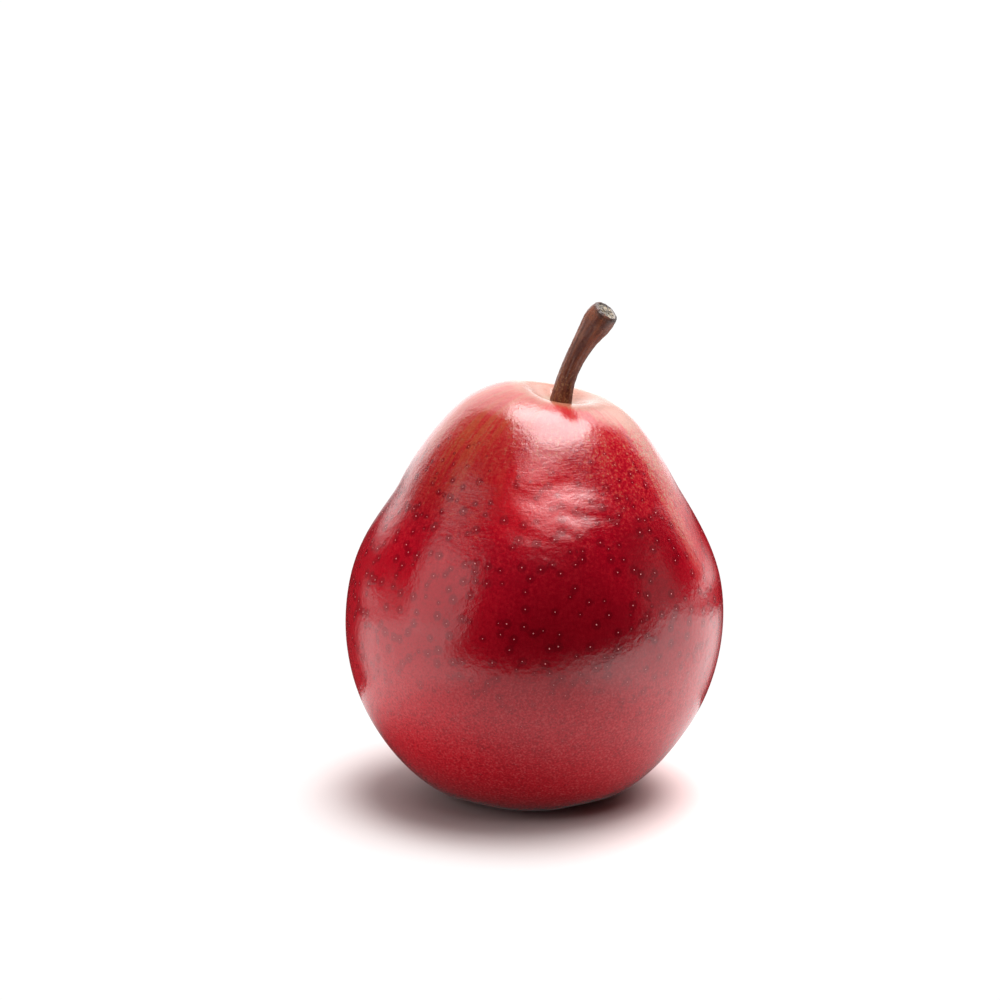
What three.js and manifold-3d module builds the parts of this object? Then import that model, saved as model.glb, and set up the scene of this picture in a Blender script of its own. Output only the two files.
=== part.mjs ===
// A ripe red pear with its woody stem, standing on its eye end.
// Millimetres, +Z up. The origin is on the table, under the middle of the belly.
// The fruit is one grown body. The stem is rooted in the hollow at the top, and the
// dried calyx sits in the basin at the bottom.
import * as THREE from "three";
import { mergeVertices } from "three/addons/utils/BufferGeometryUtils.js";
import Module from "manifold-3d";

const wasm = await Module();
wasm.setup();

// Driving sizes of the fruit
const BELLY_RADIUS = 38;
const BELLY_HEIGHT = 35.4;
const NECK_RADIUS = 27.7;
const NECK_HEIGHT = 63.5;
const NECK_HEADING = 118.5; // degrees, measured from level outwards: how the flank leans in
const CREST_RADIUS = 8.6;
const CREST_HEIGHT = 82;
const CAVITY_HEIGHT = 79.4; // floor of the stem's hollow
const FOOT_INNER_RADIUS = 11.4;
const FOOT_OUTER_RADIUS = 14.2;
const BASIN_HEIGHT = 7; // roof of the eye basin, above the table

// How the fruit departs from a turned shape
const FOOT_SHIFT_X = -0.65;
const NECK_SHIFT_X = 0.5;
const STEM_SHIFT_X = 4.3; // the hollow lies off the middle, so one shoulder is broader
const SHOULDER_TILT_X = 0.195; // and that shoulder stands higher
const SHOULDER_TILT_Y = 0.02;
const FLATTENING = 0.018; // share by which the belly is narrower from front to back
const BELLY_LOBE = 0.01; // share, three soft lobes round the belly
const SHOULDER_LOBE = 0.1; // height of three soft lobes round the hollow
const SHOULDER_LOBE_TURN = 180;
const SHOULDER_SADDLE = 0.22; // the hollow's rim dips at front and back
const SHOULDER_ROLL = 0.52; // and stands lower at the front than at the back
const CREST_PINCH = 0.16; // share by which the hollow's rim stands closer to the stem on the left
const BASE_LOBES = 5;
const BASE_LOBE_TURN = -90;
const BASE_GROOVE = 0.35; // how far the grooves between the five bosses clear the table
const BASE_GROOVE_REACH = 5; // height at which those grooves have faded out

// Soft swellings and hollows: where (degrees round, height), how far they spread, how proud
const SWELLINGS = [
  { turn: -76, height: 60, spread: 30, tall: 5.2, rise: 0.65 },
  { turn: -76, height: 69.6, spread: 24, tall: 4.1, rise: -0.6 },
  { turn: 150, height: 46, spread: 30, tall: 8, rise: 0.25 },
  { turn: -178, height: 61, spread: 42, tall: 6, rise: -0.4 },
  { turn: 2, height: 54, spread: 36, tall: 7, rise: -0.35 },
  { turn: 70, height: 66, spread: 32, tall: 8, rise: -0.45 },
  { turn: 35, height: 48, spread: 28, tall: 12, rise: 0.4 },
  { turn: -150, height: 20, spread: 30, tall: 9, rise: 0.35 },
  { turn: -20, height: 22, spread: 34, tall: 10, rise: 0.3 },
  { turn: 110, height: 26, spread: 36, tall: 11, rise: 0.4 },
];

// The stem: middle of its section and its radius, from the root to the picked end
const STEM_COURSE = [
  { x: 4.2, y: 0.3, z: 70.5, radius: 2.3 },
  { x: 4.7, y: -0.1, z: 77, radius: 2.4 },
  { x: 5.25, y: -0.5, z: 80.6, radius: 2.1 },
  { x: 6.3, y: -0.7, z: 84.8, radius: 1.85 },
  { x: 7.9, y: -1.1, z: 88.9, radius: 1.9 },
  { x: 10.1, y: -1.9, z: 93.1, radius: 2.3 },
  { x: 12.4, y: -3, z: 96.8, radius: 2.95 },
  { x: 14.1, y: -3.8, z: 99.1, radius: 2.65 },
];
const STEM_OVAL = 0.04;
const STEM_RIDGE = 0.03; // share, five blunt ridges along the bark
const STEM_RIM_ROUNDING = 0.35;
const SOCKET_LENGTH = 0.44; // share of the stem's course that is sunk in the fruit

// The calyx, modelled facing up and then turned over into the basin
const CALYX_CUP_RADIUS = 2.7;
const CALYX_ROOT_DEPTH = 3;
const SEPALS = 5;
const SEPAL_WIDTH = 2.9;
const SEPAL_THICKNESS = 0.7;
const STAMENS = 10;
const STAMEN_RADIUS = 0.28;
const STAMEN_LENGTH = 3.1;

const GAP = 0.3; // between each sunk root and its socket

// Mesh fineness
const FRUIT_SIDES = 90;
const STEM_SIDES = 22;
const STEM_STATIONS = 34;
const SEPAL_STATIONS = 7;
const SEPAL_ACROSS = 4;

const FULL_TURN = 2 * Math.PI;
const radians = THREE.MathUtils.degToRad;

function smoothstep(low, high, value) {
  const share = Math.min(1, Math.max(0, (value - low) / (high - low)));
  return share * share * (3 - 2 * share);
}

// Signed difference between two directions round the axis, in degrees
function turnBetween(a, b) {
  return ((((a - b + 180) % 360) + 360) % 360) - 180;
}

// The fruit's section from the eye basin's roof, over the foot, belly, neck and crest, to
// the floor of the stem's hollow. Each knot has the heading of the line through it and
// the reach of its curve handles, before and after; stations is how finely the stretch
// after it is divided.
const SECTION = [
  { radius: 0, height: BASIN_HEIGHT, heading: 0, before: 0, after: 6, stations: 7 },
  { radius: FOOT_INNER_RADIUS, height: 0, heading: 0, before: 3.6, after: 0.6, stations: 2 },
  { radius: FOOT_OUTER_RADIUS, height: 0, heading: 0, before: 0.6, after: 9.8, stations: 13 },
  { radius: BELLY_RADIUS, height: BELLY_HEIGHT, heading: 90, before: 17.4, after: 14.9, stations: 10 },
  { radius: NECK_RADIUS, height: NECK_HEIGHT, heading: NECK_HEADING, before: 6.6, after: 11, stations: 10 },
  { radius: CREST_RADIUS, height: CREST_HEIGHT, heading: 180, before: 7, after: 3.2, stations: 7 },
  { radius: 0, height: CAVITY_HEIGHT, heading: 180, before: 3.4, after: 0, stations: 0 },
];
const FOOT_KNOT = 2;
const NECK_KNOT = 4;

// Points of the section, each with its knot number and share of the way to the next
function sectionPoints() {
  const points = [];
  for (let knot = 0; knot < SECTION.length - 1; knot++) {
    const from = SECTION[knot];
    const to = SECTION[knot + 1];
    const start = new THREE.Vector2(from.radius, from.height);
    const end = new THREE.Vector2(to.radius, to.height);
    const leave = new THREE.Vector2(from.after, 0).rotateAround(new THREE.Vector2(), radians(from.heading));
    const arrive = new THREE.Vector2(to.before, 0).rotateAround(new THREE.Vector2(), radians(to.heading));
    const stretch = new THREE.CubicBezierCurve(start, start.clone().add(leave), end.clone().sub(arrive), end);
    for (let i = 0; i < from.stations; i++) {
      const share = i / from.stations;
      const place = stretch.getPoint(share);
      points.push({ radius: place.x, height: place.y, along: knot + share });
    }
  }
  points.push({ radius: 0, height: CAVITY_HEIGHT, along: SECTION.length - 1 });
  return points;
}

// A point of the fruit's skin: turn in radians, and a point of the section
function skinPoint(turn, { radius, height, along }) {
  const shoulder = smoothstep(NECK_KNOT, NECK_KNOT + 1, along);
  const belly = smoothstep(0, BELLY_HEIGHT, height) * (1 - shoulder);
  const lobes = 1 - FLATTENING * Math.sin(turn) ** 2 + BELLY_LOBE * belly * Math.sin(3 * turn);

  let reach = radius * lobes;
  for (const { turn: at, height: level, spread, tall, rise } of SWELLINGS) {
    const round = turnBetween(THREE.MathUtils.radToDeg(turn), at) / spread;
    const up = (height - level) / tall;
    reach += rise * Math.exp(-round * round - up * up);
  }

  // Round the hollow the rim is drawn in towards the stem on the left
  reach *= 1 - CREST_PINCH * smoothstep(NECK_KNOT + 0.6, NECK_KNOT + 1, along) * (0.5 - 0.5 * Math.cos(turn));

  const middleX =
    FOOT_SHIFT_X +
    (NECK_SHIFT_X - FOOT_SHIFT_X) * smoothstep(0, NECK_HEIGHT, height) +
    (STEM_SHIFT_X - NECK_SHIFT_X) * shoulder;

  const nearCrest = Math.min(1, radius / CREST_RADIUS) * shoulder;
  let level = height;
  level -= shoulder * radius * (SHOULDER_TILT_X * Math.cos(turn) + SHOULDER_TILT_Y * Math.sin(turn));
  level += nearCrest * SHOULDER_LOBE * Math.cos(3 * (turn - radians(SHOULDER_LOBE_TURN)));
  level += nearCrest * SHOULDER_SADDLE * Math.cos(2 * turn);
  level += nearCrest * SHOULDER_ROLL * Math.sin(turn);

  // Five bosses carry the fruit; the grooves between them run from the basin up the base
  const groove = smoothstep(0.3, 1, (1 - Math.cos(BASE_LOBES * (turn - radians(BASE_LOBE_TURN)))) / 2);
  const underside = along < FOOT_KNOT ? smoothstep(0, FOOT_INNER_RADIUS, radius) : 1;
  level += BASE_GROOVE * groove * underside * (1 - smoothstep(0, BASE_GROOVE_REACH, height));

  return new THREE.Vector3(middleX + reach * Math.cos(turn), reach * Math.sin(turn), level);
}

// A closed body through rings of points, with a point of its own closing each end
function closedBody(firstEnd, rings, lastEnd) {
  const sides = rings[0].length;
  const points = [firstEnd, ...rings.flat(), lastEnd];
  const last = points.length - 1;
  const faces = [];
  for (let i = 0; i < sides; i++) {
    const next = (i + 1) % sides;
    faces.push(0, 1 + next, 1 + i);
    for (let ring = 0; ring < rings.length - 1; ring++) {
      const low = 1 + ring * sides;
      const high = low + sides;
      faces.push(low + i, low + next, high + next, low + i, high + next, high + i);
    }
    const top = 1 + (rings.length - 1) * sides;
    faces.push(top + i, top + next, last);
  }
  const geometry = new THREE.BufferGeometry();
  geometry.setAttribute("position", new THREE.Float32BufferAttribute(points.flatMap((p) => p.toArray()), 3));
  geometry.setIndex(faces);
  return geometry;
}

function solidOf(geometry) {
  const plain = geometry.clone();
  plain.deleteAttribute("normal");
  plain.deleteAttribute("uv");
  const merged = mergeVertices(plain, 1e-4);
  return new wasm.Manifold(
    new wasm.Mesh({
      numProp: 3,
      vertProperties: merged.attributes.position.array,
      triVerts: new Uint32Array(merged.index.array),
    }),
  );
}

function geometryOf(solid) {
  const { vertProperties, triVerts } = solid.getMesh();
  const geometry = new THREE.BufferGeometry();
  geometry.setAttribute("position", new THREE.BufferAttribute(vertProperties, 3));
  geometry.setIndex(new THREE.BufferAttribute(triVerts, 1));
  geometry.computeVertexNormals();
  return geometry;
}

function fruitSolid() {
  const section = sectionPoints();
  const rings = section.slice(1, -1).map((place) =>
    Array.from({ length: FRUIT_SIDES }, (_, i) => skinPoint((FULL_TURN * i) / FRUIT_SIDES, place)),
  );
  const basinRoof = skinPoint(0, section[0]);
  const cavityFloor = skinPoint(0, section.at(-1));
  return solidOf(closedBody(basinRoof, rings, cavityFloor));
}

// The stem up to a share of its length, or with a margin the socket that holds its root
function stemSolid(margin, length, stations) {
  const line = new THREE.CatmullRomCurve3(STEM_COURSE.map(({ x, y, z }) => new THREE.Vector3(x, y, z)));
  const thickness = new THREE.SplineCurve(STEM_COURSE.map(({ radius }, i) => new THREE.Vector2(i, radius)));
  const root = line.getPoint(0).addScaledVector(line.getTangent(0), -margin);
  const rings = [];
  for (let station = 0; station <= stations; station++) {
    const share = (length * station) / stations;
    const middle = station === 0 ? root : line.getPoint(share);
    const along = line.getTangent(share);
    const across = new THREE.Vector3(0, 1, 0).cross(along).normalize();
    const sideways = along.clone().cross(across);
    const rim = STEM_RIM_ROUNDING * smoothstep(0.98, 1, share);
    rings.push(
      Array.from({ length: STEM_SIDES }, (_, i) => {
        const turn = (FULL_TURN * i) / STEM_SIDES;
        const oval = 1 + STEM_OVAL * Math.cos(2 * turn + 0.8 + share);
        const ridges = 1 + STEM_RIDGE * Math.cos(5 * turn + 2.5 * share);
        const radius = (thickness.getPoint(share).y - rim) * oval * ridges + margin;
        return middle
          .clone()
          .addScaledVector(across, radius * Math.cos(turn))
          .addScaledVector(sideways, radius * Math.sin(turn));
      }),
    );
  }
  return solidOf(closedBody(root, rings, line.getPoint(length)));
}

// One dried sepal: a thin blade that rises out of the cup and rolls outwards at its tip
function sepalSolid() {
  const rings = [];
  for (let station = 0; station < SEPAL_STATIONS; station++) {
    const share = station / SEPAL_STATIONS;
    const lean = radians(64 - 48 * share);
    const middle = new THREE.Vector3(1.4 + 3.4 * share ** 1.25, 0, -0.5 + 5.1 * share - 1.3 * share ** 2.4);
    const outward = new THREE.Vector3(Math.sin(lean), 0, -Math.cos(lean));
    const half = (SEPAL_WIDTH / 2) * (1 - share ** 1.8) * (0.75 + 0.6 * share);
    const front = [];
    const back = [];
    for (let i = 0; i <= SEPAL_ACROSS; i++) {
      const side = (2 * i) / SEPAL_ACROSS - 1;
      const cupped = 0.5 * side * side * half;
      const place = middle.clone().add(new THREE.Vector3(0, side * half, 0)).addScaledVector(outward, -cupped);
      front.unshift(place.clone().addScaledVector(outward, -SEPAL_THICKNESS / 2));
      back.push(place.clone().addScaledVector(outward, SEPAL_THICKNESS / 2));
    }
    rings.push([...back, ...front]);
  }
  const start = new THREE.Vector3(1.4, 0, -0.5);
  const tip = new THREE.Vector3(4.9, 0, 3.2);
  return solidOf(closedBody(start, rings, tip));
}

// One withered stamen, leaning out of the cup
function stamenSolid(lean, length) {
  const stalk = new THREE.CylinderGeometry(STAMEN_RADIUS * 0.7, STAMEN_RADIUS, length, 5);
  stalk.translate(0, length / 2 - 0.6, 0);
  stalk.rotateX(Math.PI / 2);
  stalk.rotateY(lean);
  stalk.translate(0.9, 0, 0.5);
  return solidOf(stalk);
}

// Everything that dried at the eye: cup, sepals and stamens, grown together
function calyxSolid() {
  const cup = new THREE.LatheGeometry(
    [
      [0, -CALYX_ROOT_DEPTH],
      [0.7 * CALYX_CUP_RADIUS, -CALYX_ROOT_DEPTH],
      [CALYX_CUP_RADIUS, -0.4 * CALYX_ROOT_DEPTH],
      [CALYX_CUP_RADIUS, 0.2],
      [0.8 * CALYX_CUP_RADIUS, 0.9],
      [0.6 * CALYX_CUP_RADIUS, 0.5],
      [0, 0.4],
    ].map(([radius, level]) => new THREE.Vector2(radius, level)),
    20,
  );
  cup.rotateX(Math.PI / 2);
  let calyx = solidOf(cup);
  const sepal = sepalSolid();
  for (let i = 0; i < SEPALS; i++) {
    const twist = [4, -7, 3, 6, -5][i];
    calyx = calyx.add(sepal.rotate([0, 0, (360 * i) / SEPALS + twist]));
  }
  for (let i = 0; i < STAMENS; i++) {
    const lean = radians(12 + 16 * (i % 3));
    const stamen = stamenSolid(lean, STAMEN_LENGTH - 0.3 * (i % 4));
    calyx = calyx.add(stamen.rotate([0, 0, (360 * i) / STAMENS + 9 * (i % 2)]));
  }
  return calyx;
}

// A plain blind hole in the roof of the basin for the calyx cup
function calyxSocket() {
  const depth = CALYX_ROOT_DEPTH + GAP;
  const hole = new THREE.CylinderGeometry(CALYX_CUP_RADIUS + GAP, CALYX_CUP_RADIUS + GAP, depth + 2, 28);
  hole.rotateX(Math.PI / 2);
  hole.translate(FOOT_SHIFT_X, 0, BASIN_HEIGHT + depth - (depth + 2) / 2);
  return solidOf(hole);
}

const skin = new THREE.MeshStandardMaterial({ color: 0x9b0c1e, roughness: 0.25, metalness: 0 });
const bark = new THREE.MeshStandardMaterial({ color: 0x6b3d22, roughness: 0.7, metalness: 0 });
const driedSepal = new THREE.MeshStandardMaterial({ color: 0x3a2618, roughness: 0.9, metalness: 0 });

function piece(name, geometry, material) {
  const mesh = new THREE.Mesh(geometry, material);
  mesh.name = name;
  return mesh;
}

const stemSocket = stemSolid(GAP, SOCKET_LENGTH, 14);
const fruit = fruitSolid().subtract(stemSocket).subtract(calyxSocket());

const pear = new THREE.Group();
pear.name = "pear";
pear.add(piece("fruit", geometryOf(fruit), skin));
pear.add(piece("stem", geometryOf(stemSolid(0, 1, STEM_STATIONS)), bark));

const eye = new THREE.Group();
eye.name = "eye";
eye.position.set(FOOT_SHIFT_X, 0, BASIN_HEIGHT);
eye.rotation.set(Math.PI, 0, 0);
eye.add(piece("calyx", geometryOf(calyxSolid()), driedSepal));
pear.add(eye);

export default pear;
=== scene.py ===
# A ripe red pear standing on a white table in soft studio light.
# Sizes are in millimetres until a mesh is made; the scene is in metres.
import math

import bpy
import numpy as np
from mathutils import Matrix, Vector, noise


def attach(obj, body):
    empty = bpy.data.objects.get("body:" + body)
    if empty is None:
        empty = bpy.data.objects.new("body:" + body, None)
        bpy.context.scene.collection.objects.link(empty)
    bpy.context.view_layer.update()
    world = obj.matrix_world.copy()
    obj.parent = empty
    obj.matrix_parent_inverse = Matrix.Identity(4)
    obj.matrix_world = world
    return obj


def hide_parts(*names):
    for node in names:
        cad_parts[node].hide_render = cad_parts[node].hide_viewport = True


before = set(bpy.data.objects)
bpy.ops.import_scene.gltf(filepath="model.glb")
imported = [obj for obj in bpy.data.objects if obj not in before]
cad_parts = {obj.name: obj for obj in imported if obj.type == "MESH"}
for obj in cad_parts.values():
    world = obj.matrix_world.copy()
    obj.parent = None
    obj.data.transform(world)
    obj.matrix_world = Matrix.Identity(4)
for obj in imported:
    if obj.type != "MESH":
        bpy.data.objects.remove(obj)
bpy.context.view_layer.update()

# The fruit
# One grown body of flesh under a thin waxy skin: squat, broad-bellied, with a soft neck.
# It has a hollow for the stem on top and an eye basin underneath, ringed by five low bosses.
BELLY_RADIUS = 38.0
BELLY_HEIGHT = 35.4
NECK_RADIUS = 27.7
NECK_HEIGHT = 63.5
CREST_RADIUS = 8.6
CREST_HEIGHT = 82.0
CAVITY_HEIGHT = 79.4
FOOT_INNER_RADIUS = 11.4
FOOT_OUTER_RADIUS = 14.2
BASIN_HEIGHT = 7.0
# How it departs from a turned shape
FOOT_SHIFT_X = -0.65
NECK_SHIFT_X = 0.5
STEM_SHIFT_X = 4.3  # the hollow lies off the middle, so one shoulder is broader
SHOULDER_TILT_X = 0.195  # and that shoulder stands higher
SHOULDER_TILT_Y = 0.02
FLATTENING = 0.018  # share by which the belly is narrower from front to back
BELLY_LOBE = 0.01  # share, three soft lobes round the belly
SHOULDER_LOBE = 0.1  # height of three soft lobes round the hollow
SHOULDER_SADDLE = 0.22  # the hollow's rim dips at front and back
SHOULDER_ROLL = 0.52  # and stands lower at the front than at the back
CREST_PINCH = 0.16  # share by which the rim stands closer to the stem on the left
BASE_LOBES = 5
BASE_GROOVE = 0.35  # how far the grooves between the five bosses clear the table
BASE_GROOVE_REACH = 5  # height at which those grooves have faded out
FRUIT_SIDES = 312
# Knots of the section: radius, height, heading in degrees, handle before and after, stations
FRUIT_SECTION = [
    (0, BASIN_HEIGHT, 0, 0, 6, 20),
    (FOOT_INNER_RADIUS, 0, 0, 3.6, 0.6, 8),
    (FOOT_OUTER_RADIUS, 0, 0, 0.6, 9.8, 66),
    (BELLY_RADIUS, BELLY_HEIGHT, 90, 17.4, 14.9, 66),
    (NECK_RADIUS, NECK_HEIGHT, 118.5, 6.6, 11, 66),
    (CREST_RADIUS, CREST_HEIGHT, 180, 7, 3.2, 34),
    (0, CAVITY_HEIGHT, 180, 3.4, 0, 0),
]
FOOT_KNOT = 2
NECK_KNOT = 4
# Soft swellings and hollows: degrees round, height, their spreads, and how proud
SWELLINGS = [
    (-76, 60, 30, 5.2, 0.65),
    (-76, 69.6, 24, 4.1, -0.6),
    (150, 46, 30, 8, 0.25),
    (-178, 61, 42, 6, -0.4),
    (2, 54, 36, 7, -0.35),
    (70, 66, 32, 8, -0.45),
    (35, 48, 28, 12, 0.4),
    (-150, 20, 30, 9, 0.35),
    (-20, 22, 34, 10, 0.3),
    (110, 26, 36, 11, 0.4),
]


def smooth(low, high, value):
    share = np.clip((value - low) / (high - low), 0, 1)
    return share * share * (3 - 2 * share)


def fruit_section():
    """Radius, height and knot share of every station, from the basin's roof to the hollow's floor."""
    rows = []
    for knot, (start, end) in enumerate(zip(FRUIT_SECTION, FRUIT_SECTION[1:])):
        leave = math.radians(start[2])
        arrive = math.radians(end[2])
        p0 = np.array(start[:2], float)
        p3 = np.array(end[:2], float)
        p1 = p0 + start[4] * np.array([math.cos(leave), math.sin(leave)])
        p2 = p3 - end[3] * np.array([math.cos(arrive), math.sin(arrive)])
        for station in range(start[5]):
            t = station / start[5]
            place = p0 * (1 - t) ** 3 + 3 * p1 * t * (1 - t) ** 2 + 3 * p2 * t * t * (1 - t) + p3 * t**3
            rows.append((place[0], place[1], knot + t))
    rows.append((0, CAVITY_HEIGHT, len(FRUIT_SECTION) - 1))
    return np.array(rows)


def fruit_points(turn, radius, height, along):
    """Points of the skin. The arrays broadcast: turn in radians, the rest from fruit_section."""
    shoulder = smooth(NECK_KNOT, NECK_KNOT + 1, along)
    belly = smooth(0, BELLY_HEIGHT, height) * (1 - shoulder)
    reach = radius * (1 - FLATTENING * np.sin(turn) ** 2 + BELLY_LOBE * belly * np.sin(3 * turn))
    for at, level, spread, tall, rise in SWELLINGS:
        away = (np.degrees(turn) - at + 180) % 360 - 180
        reach = reach + rise * np.exp(-((away / spread) ** 2) - ((height - level) / tall) ** 2)
    crest = smooth(NECK_KNOT + 0.6, NECK_KNOT + 1, along)
    reach = reach * (1 - CREST_PINCH * crest * (0.5 - 0.5 * np.cos(turn)))
    middle_x = (
        FOOT_SHIFT_X
        + (NECK_SHIFT_X - FOOT_SHIFT_X) * smooth(0, NECK_HEIGHT, height)
        + (STEM_SHIFT_X - NECK_SHIFT_X) * shoulder
    )
    near_crest = np.minimum(1, radius / CREST_RADIUS) * shoulder
    level = height - shoulder * radius * (SHOULDER_TILT_X * np.cos(turn) + SHOULDER_TILT_Y * np.sin(turn))
    lobes = SHOULDER_LOBE * np.cos(3 * (turn - math.pi)) + SHOULDER_SADDLE * np.cos(2 * turn)
    level = level + near_crest * lobes
    level = level + near_crest * SHOULDER_ROLL * np.sin(turn)
    # The grooves between the five bosses run from the basin up the base
    groove = smooth(0.3, 1, (1 - np.cos(BASE_LOBES * (turn + math.pi / 2))) / 2)
    underside = np.where(along < FOOT_KNOT, smooth(0, FOOT_INNER_RADIUS, radius), 1)
    level = level + BASE_GROOVE * groove * underside * (1 - smooth(0, BASE_GROOVE_REACH, height))
    return np.stack(np.broadcast_arrays(middle_x + reach * np.cos(turn), reach * np.sin(turn), level), -1)


def ring_mesh(name, rings, first_end, last_end):
    """A closed mesh through rings of points (rings, sides, 3) in millimetres, one point closing each end."""
    count, sides = rings.shape[:2]
    points = np.concatenate([[first_end], rings.reshape(-1, 3), [last_end]]) / 1000
    faces = []
    for i in range(sides):
        after = (i + 1) % sides
        faces.append((0, 1 + after, 1 + i))
    for ring in range(count - 1):
        low = 1 + ring * sides
        for i in range(sides):
            after = (i + 1) % sides
            faces.append((low + i, low + after, low + sides + after, low + sides + i))
    top = 1 + (count - 1) * sides
    for i in range(sides):
        faces.append((top + i, top + (i + 1) % sides, len(points) - 1))
    mesh = bpy.data.meshes.new(name)
    mesh.from_pydata(points.tolist(), [], faces)
    mesh.shade_smooth()
    return mesh


def store(mesh, name, kind, values):
    """A value for each point of the mesh, that its material can read."""
    attribute = mesh.attributes.new(name, kind, "POINT")
    field = "vector" if kind == "FLOAT_VECTOR" else "value"
    attribute.data.foreach_set(field, np.asarray(values, np.float32).ravel())


def show(name, mesh):
    thing = bpy.data.objects.new(name, mesh)
    bpy.context.scene.collection.objects.link(thing)
    return thing


section = fruit_section()
turns = np.linspace(0, 2 * math.pi, FRUIT_SIDES, endpoint=False)[None, :]
radii, heights, alongs = (section[1:-1, column][:, None] for column in range(3))
rings = fruit_points(turns, radii, heights, alongs)

# The neck's skin is folded and finely rumpled on the side towards the viewer, and faintly uneven
# all over. A fold: middle x and height, slant in degrees, half length, half width, how proud
FOLDS = [
    (-1, 68, 10, 9, 2.5, 0.38),
    (0, 60.5, -27, 9, 2.2, 0.2),
    (19, 62.3, -12, 5, 2.6, -0.26),
    (13, 72, 8, 6, 2.4, -0.1),
    (-14, 64.8, 8, 7, 3, -0.17),
]
# The rumpled patch: middle x and height, and how far it spreads each way
RUMPLED_PATCH = (8, 63, 13, 8)
RUMPLE_RISE = 0.24
SWELL_RISE = 0.07
# Knot share below which the foot keeps its plain form
PLAIN_FOOT = 1.9


def folded(x, z):
    """How far the folds lift the skin at a place on the front."""
    lift = 0.0
    for middle_x, middle_z, slant, length, width, rise in FOLDS:
        slope = math.radians(slant)
        lengthwise = (x - middle_x) * math.cos(slope) + (z - middle_z) * math.sin(slope)
        crosswise = ((z - middle_z) * math.cos(slope) - (x - middle_x) * math.sin(slope)) / width
        lift += rise * crosswise * math.exp(-((lengthwise / length) ** 2) - crosswise**2)
    return lift


def uneven(x, y, z):
    """How far the skin stands off its plain form at a place."""
    swell = SWELL_RISE * noise.noise(Vector((x / 11, y / 11, z / 11 + 5)))
    if y >= 0:
        return swell
    middle_x, middle_z, wide, tall = RUMPLED_PATCH
    front = math.exp(-(((x - middle_x) / wide) ** 2) - ((z - middle_z) / tall) ** 2)
    rumple = noise.noise(Vector((x / 7, y / 7, z / 3.4 + x / 12)))
    rumple += 0.4 * noise.noise(Vector((x / 3, y / 3, z / 1.5 + x / 5)))
    return RUMPLE_RISE * front * rumple + swell + folded(x, z)


outward = np.stack(np.broadcast_arrays(np.cos(turns), np.sin(turns), 0 * heights), -1)
for row, along in enumerate(alongs[:, 0]):
    if along < PLAIN_FOOT:
        continue
    for column in range(FRUIT_SIDES):
        rings[row, column] += outward[row, column] * uneven(*rings[row, column])

skin_mesh = ring_mesh("skin", rings, (FOOT_SHIFT_X, 0, BASIN_HEIGHT), (STEM_SHIFT_X, 0, CAVITY_HEIGHT))
# Streaks run along the fruit from stem to eye: where a point lies round it, and its knot share
around_and_along = np.stack(np.broadcast_arrays(np.cos(turns), np.sin(turns), alongs), -1).reshape(-1, 3)
last_knot = len(FRUIT_SECTION) - 1
streak_places = np.concatenate([[(1, 0, 0)], around_and_along, [(1, 0, last_knot)]])
store(skin_mesh, "streak", "FLOAT_VECTOR", streak_places)
skin = show("skin", skin_mesh)

# The lenticels
# Pale corky breathing pores all over the skin, each in a darker red halo. They are scattered
# at random, and are smallest round the stem and near the foot.
PORE_SPACING = 1.6
PORE_RADIUS = 0.13
PORES_PER_SQUARE_CM = 12
SMALLEST_PORE = 0.55
LARGEST_PORE = 1.3
LOWEST_PORE = 3.0
HIGHEST_PORE = 75.0
PORE_SEED = 3
PORE_SIZE_SEED = 23
DOME_SIDES = 8
DOME_RINGS = 3
DOME_FLATNESS = 0.22


def plug(tree, made, inputs):
    """Fills inputs of a node. Each takes a number, a colour or another node's output."""
    for socket, value in inputs.items():
        if isinstance(value, bpy.types.NodeSocket):
            tree.links.new(value, made.inputs[socket])
        else:
            made.inputs[socket].default_value = value


def node(tree, kind, inputs=None, **settings):
    made = tree.nodes.new(kind)
    for name, value in settings.items():
        setattr(made, name, value)
    plug(tree, made, inputs or {})
    return made


def calc(tree, operation, *values):
    return node(tree, "ShaderNodeMath", dict(enumerate(values)), operation=operation).outputs[0]


def product(tree, first, *others):
    """All the values multiplied together."""
    for other in others:
        first = calc(tree, "MULTIPLY", first, other)
    return first


def vector_calc(tree, operation, *values, output=0):
    return node(tree, "ShaderNodeVectorMath", dict(enumerate(values)), operation=operation).outputs[output]


def distance(tree, place, centre):
    return vector_calc(tree, "DISTANCE", place, centre, output=1)


def split(tree, vector):
    """The x, y and z of a vector."""
    return node(tree, "ShaderNodeSeparateXYZ", {0: vector}).outputs


def joined(tree, *values):
    """A vector with these values as its x, y and z."""
    return node(tree, "ShaderNodeCombineXYZ", dict(enumerate(values))).outputs[0]


def fade(tree, value, low, high, start=0.0, end=1.0):
    """start where value is at low, end where it is at high, smooth between them."""
    inputs = {"Value": value, "From Min": low, "From Max": high, "To Min": start, "To Max": end}
    return node(tree, "ShaderNodeMapRange", inputs, interpolation_type="SMOOTHSTEP").outputs[0]


def mixed(tree, share, first, second, blend="MIX"):
    inputs = {0: share, 6: first, 7: second}
    return node(tree, "ShaderNodeMix", inputs, data_type="RGBA", blend_type=blend).outputs[2]


def grain(tree, place, scale, detail=3.0, rough=0.55, stretch=None, distortion=0.0):
    """Cloudy noise between 0 and 1. scale is in features per unit of place."""
    if stretch:
        place = node(tree, "ShaderNodeMapping", {"Vector": place, "Scale": stretch}).outputs[0]
    inputs = {"Vector": place, "Scale": scale, "Detail": detail, "Roughness": rough, "Distortion": distortion}
    return node(tree, "ShaderNodeTexNoise", inputs).outputs[0]


def object_place(tree):
    return node(tree, "ShaderNodeTexCoord").outputs["Object"]


def empty_material(name):
    material = bpy.data.materials.new(name)
    material.use_nodes = True
    material.node_tree.nodes.clear()
    return material, material.node_tree


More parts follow.
